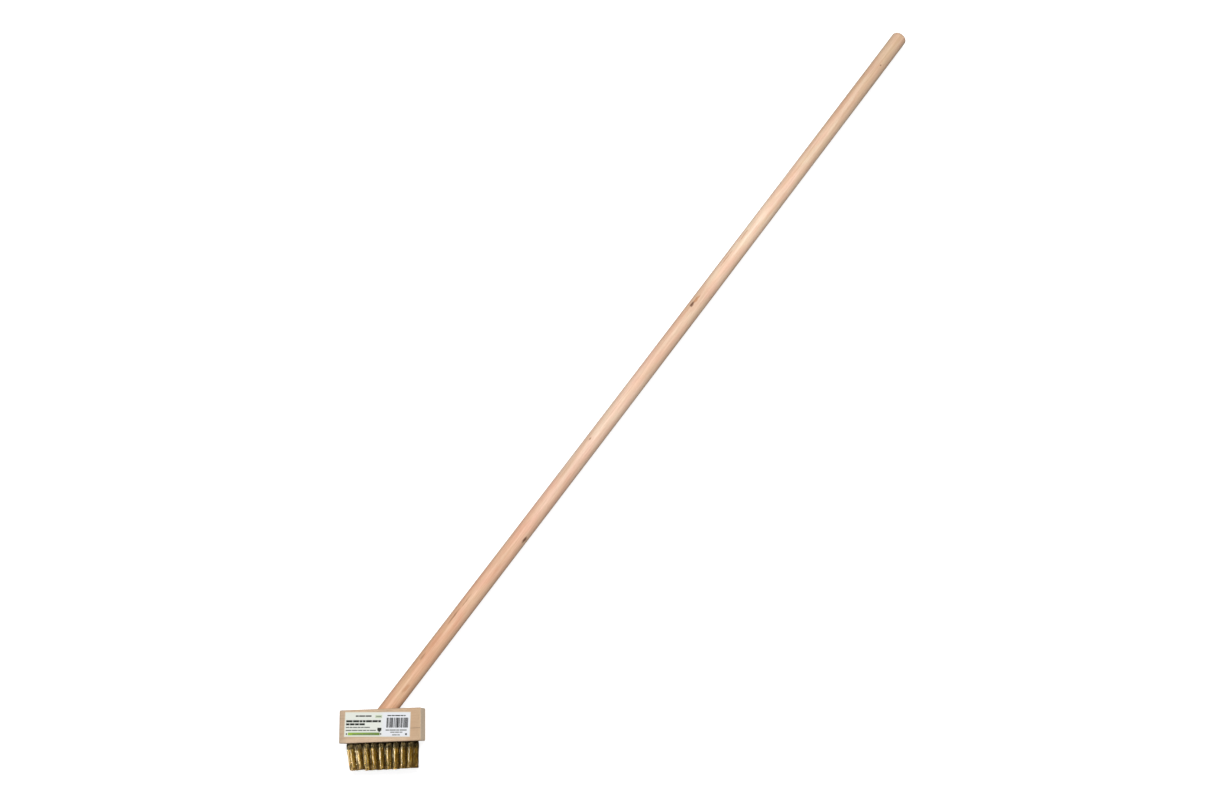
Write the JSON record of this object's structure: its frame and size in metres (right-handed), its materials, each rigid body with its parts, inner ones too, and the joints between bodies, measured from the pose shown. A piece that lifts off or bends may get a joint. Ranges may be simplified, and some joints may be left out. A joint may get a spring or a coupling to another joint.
{
  "type": "long-handled wire brush",
  "caption": "Wire brush for joints and cracks: a wooden block with tufts of crimped brass wire on one face, a paper label on its side and a long round wooden handle set in at a slant.",
  "frame": {"origin": "centre of the block's back face, the face the brush lies on", "axes": "+X along the block towards the side the handle leans to, +Y from the wire tips to the handle, +Z out of the labelled face, away from the surface the brush lies on"},
  "size_m": [0.9327, 1.1617, 0.0432],
  "materials": {
    "block_wood": "bare sanded light hardwood, satin to matt",
    "handle_wood": "bare turned light wood, satin to matt",
    "label_paper": "coated white paper with printed blocks",
    "brass_wire": "drawn and crimped wire, bright with darker tarnish",
    "anchor_steel": "flat drawn wire, dull grey, hidden in the block"
  },
  "bodies": {
    "root": {"block": "block_wood", "handle": "handle_wood", "label": "label_paper", "tuft_r1_c01": "brass_wire", "anchor_r1_c01": "anchor_steel", "tuft_r1_c02": "brass_wire", "anchor_r1_c02": "anchor_steel", "tuft_r1_c03": "brass_wire", "anchor_r1_c03": "anchor_steel", "tuft_r1_c04": "brass_wire", "anchor_r1_c04": "anchor_steel", "tuft_r1_c05": "brass_wire", "anchor_r1_c05": "anchor_steel", "tuft_r1_c06": "brass_wire", "anchor_r1_c06": "anchor_steel", "tuft_r1_c07": "brass_wire", "anchor_r1_c07": "anchor_steel", "tuft_r1_c08": "brass_wire", "anchor_r1_c08": "anchor_steel", "tuft_r1_c09": "brass_wire", "anchor_r1_c09": "anchor_steel", "tuft_r2_c01": "brass_wire", "anchor_r2_c01": "anchor_steel", "tuft_r2_c02": "brass_wire", "anchor_r2_c02": "anchor_steel", "tuft_r2_c03": "brass_wire", "anchor_r2_c03": "anchor_steel", "tuft_r2_c04": "brass_wire", "anchor_r2_c04": "anchor_steel", "tuft_r2_c05": "brass_wire", "anchor_r2_c05": "anchor_steel", "tuft_r2_c06": "brass_wire", "anchor_r2_c06": "anchor_steel", "tuft_r2_c07": "brass_wire", "anchor_r2_c07": "anchor_steel", "tuft_r2_c08": "brass_wire", "anchor_r2_c08": "anchor_steel", "tuft_r2_c09": "brass_wire", "anchor_r2_c09": "anchor_steel", "tuft_r2_c10": "brass_wire", "anchor_r2_c10": "anchor_steel", "tuft_r3_c01": "brass_wire", "anchor_r3_c01": "anchor_steel", "tuft_r3_c02": "brass_wire", "anchor_r3_c02": "anchor_steel", "tuft_r3_c03": "brass_wire", "anchor_r3_c03": "anchor_steel", "tuft_r3_c04": "brass_wire", "anchor_r3_c04": "anchor_steel", "tuft_r3_c05": "brass_wire", "anchor_r3_c05": "anchor_steel", "tuft_r3_c06": "brass_wire", "anchor_r3_c06": "anchor_steel", "tuft_r3_c07": "brass_wire", "anchor_r3_c07": "anchor_steel", "tuft_r3_c08": "brass_wire", "anchor_r3_c08": "anchor_steel", "tuft_r3_c09": "brass_wire", "anchor_r3_c09": "anchor_steel"}
  },
  "joints": []
}
